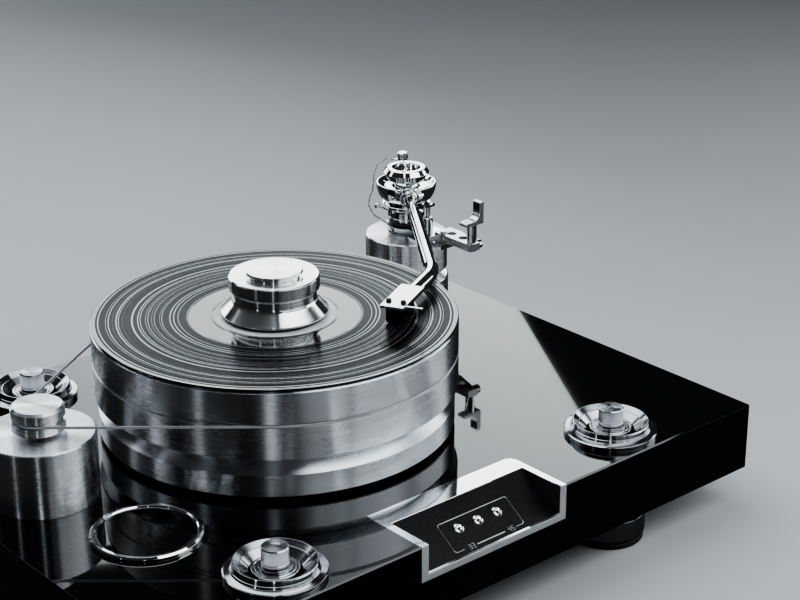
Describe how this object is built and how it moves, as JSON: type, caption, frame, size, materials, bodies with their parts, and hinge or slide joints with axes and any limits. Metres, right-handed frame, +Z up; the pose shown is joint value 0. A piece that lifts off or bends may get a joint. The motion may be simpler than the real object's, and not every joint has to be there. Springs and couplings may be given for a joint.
{
  "type": "turntable record player",
  "caption": "Belt-driven turntable: black gloss plinth with chrome feet and sloping button panel, two-part metal platter, record, clamp and curved tonearm on a round tower.",
  "frame": {"origin": "centre of the footprint, on the surface that the feet stand on", "axes": "+X to the right, +Y to the back, +Z up; the control panel faces -Y"},
  "size_m": [0.606, 0.462, 0.241],
  "materials": {
    "piano_black": "polished piano lacquer",
    "black_metal": "satin black",
    "steel_screw": "plain zinc",
    "chrome": "polished",
    "turned_aluminium": "fine turned, bright",
    "satin_aluminium": "satin",
    "panel_black": "satin black with printed lines",
    "circuit_green": "circuit board",
    "gilt": "gold plated",
    "rubber_black": "moulded",
    "bearing_brass": "turned",
    "ceramic": "polished ceramic",
    "motor_black": "satin",
    "belt_grey": "ground flat belt",
    "vinyl": "grooved vinyl",
    "label_paper": "plain paper",
    "dark_steel": "dark turned",
    "cartridge_black": "polished black shell",
    "wire_pair": "twisted pair, silk covered"
  },
  "bodies": {
    "root": {"plinth": "piano_black", "base_plate": "black_metal", "base_screws": "steel_screw", "panel_bezel": "chrome", "control_panel": "panel_black", "control_board": "circuit_green", "signal_sockets": "gilt", "power_inlet": "black_metal", "foot_flanges": "chrome", "foot_legs": "satin_aluminium", "foot_isolators": "rubber_black", "foot_pads": "rubber_black", "spare_mount_cover": "chrome", "main_bearing_housing": "bearing_brass", "thrust_ball": "ceramic", "motor_housing": "turned_aluminium", "motor": "motor_black", "drive_belt": "belt_grey", "arm_base_disc": "satin_aluminium", "arm_neck": "turned_aluminium", "arm_tower": "turned_aluminium", "arm_mount_bar": "chrome", "arm_collar_ring": "rubber_black", "arm_pillar": "dark_steel", "arm_screws": "steel_screw", "rest_bracket": "chrome", "rest_post": "chrome", "rest_cradle": "chrome", "cue_dashpot": "chrome", "lead_wire": "wire_pair"},
    "platter": {"bearing_spindle": "chrome", "lower_platter": "turned_aluminium", "upper_platter": "turned_aluminium", "record": "vinyl", "record_label": "label_paper"},
    "clamp": {"clamp_grip_ring": "rubber_black", "clamp_base": "chrome", "clamp_top": "chrome", "clamp_button": "satin_aluminium"},
    "motor_pulley": {"pulley": "turned_aluminium"},
    "arm_yoke": {"arm_block": "dark_steel", "bearing_cap": "chrome", "pivot_needle": "chrome"},
    "arm": {"bearing_bowl": "chrome", "pivot_pins": "steel_screw", "arm_tube": "chrome", "headshell": "satin_aluminium", "cartridge": "cartridge_black", "cartridge_screws": "black_metal", "stylus": "dark_steel"},
    "balance_weight": {"counterweight": "chrome"},
    "lift_lever": {"cue_lever": "chrome"},
    "lift_bar": {"cue_lift": "chrome"},
    "left_button": {"button_left": "chrome"},
    "middle_button": {"button_middle": "chrome"},
    "right_button": {"button_right": "chrome"},
    "front_left_knob": {"knob_front_left": "turned_aluminium"},
    "front_right_knob": {"knob_front_right": "turned_aluminium"},
    "rear_left_knob": {"knob_rear_left": "turned_aluminium"},
    "rear_right_knob": {"knob_rear_right": "turned_aluminium"}
  },
  "joints": [
    {"name": "platter_spin", "type": "hinge", "parent": "root", "child": "platter", "pos_m": [-0.018, 0.011, 0.145], "axis": [0, 0, -1], "continuous": true},
    {"name": "pulley_spin", "type": "hinge", "parent": "root", "child": "motor_pulley", "pos_m": [-0.236, 0.026, 0.145], "axis": [0, 0, -1], "continuous": true},
    {"name": "clamp_lift", "type": "slide", "parent": "platter", "child": "clamp", "axis": [0, 0, 1], "range_m": [0, 0.06]},
    {"name": "arm_swing", "type": "hinge", "parent": "root", "child": "arm_yoke", "pos_m": [0.2455, 0.149, 0.195], "axis": [0, 0, 1], "range_deg": [-9, 31.7]},
    {"name": "arm_tilt", "type": "hinge", "parent": "arm_yoke", "child": "arm", "pos_m": [0.2455, 0.149, 0.205], "axis": [-0.8161, 0.5779, 0], "range_deg": [0, 2.5]},
    {"name": "weight_slide", "type": "slide", "parent": "arm", "child": "balance_weight", "axis": [0.5779, 0.8161, 0], "range_m": [-0.002, 0.006]},
    {"name": "lift_lever_turn", "type": "hinge", "parent": "root", "child": "lift_lever", "pos_m": [0.2455, 0.149, 0.1815], "axis": [0, 0, 1], "range_deg": [0, 40]},
    {"name": "lift_rise", "type": "slide", "parent": "root", "child": "lift_bar", "axis": [0, 0, 1], "range_m": [0, 0.0016]},
    {"name": "left_button_press", "type": "slide", "parent": "root", "child": "left_button", "axis": [0, 0.5498, -0.8353], "range_m": [0, 0.0012], "stiffness_N_per_m": 600, "springref_m": -0.0004},
    {"name": "middle_button_press", "type": "slide", "parent": "root", "child": "middle_button", "axis": [0, 0.5498, -0.8353], "range_m": [0, 0.0012], "stiffness_N_per_m": 600, "springref_m": -0.0004},
    {"name": "right_button_press", "type": "slide", "parent": "root", "child": "right_button", "axis": [0, 0.5498, -0.8353], "range_m": [0, 0.0012], "stiffness_N_per_m": 600, "springref_m": -0.0004},
    {"name": "front_left_level", "type": "hinge", "parent": "root", "child": "front_left_knob", "pos_m": [-0.1746, -0.1893, 0.11], "axis": [0, 0, 1], "range_deg": [-180, 180]},
    {"name": "front_right_level", "type": "hinge", "parent": "root", "child": "front_right_knob", "pos_m": [0.1746, -0.1893, 0.11], "axis": [0, 0, 1], "range_deg": [-180, 180]},
    {"name": "rear_left_level", "type": "hinge", "parent": "root", "child": "rear_left_knob", "pos_m": [-0.148, 0.189, 0.11], "axis": [0, 0, 1], "range_deg": [-180, 180]},
    {"name": "rear_right_level", "type": "hinge", "parent": "root", "child": "rear_right_knob", "pos_m": [0.148, 0.189, 0.11], "axis": [0, 0, 1], "range_deg": [-180, 180]}
  ],
  "couplings": [
    {"joint": "pulley_spin", "follows": "platter_spin", "ratio": 7.55},
    {"joint": "arm_tilt", "follows": "lift_lever_turn", "ratio": 0.0625},
    {"joint": "lift_rise", "follows": "lift_lever_turn", "m_per_rad": 0.002149}
  ]
}
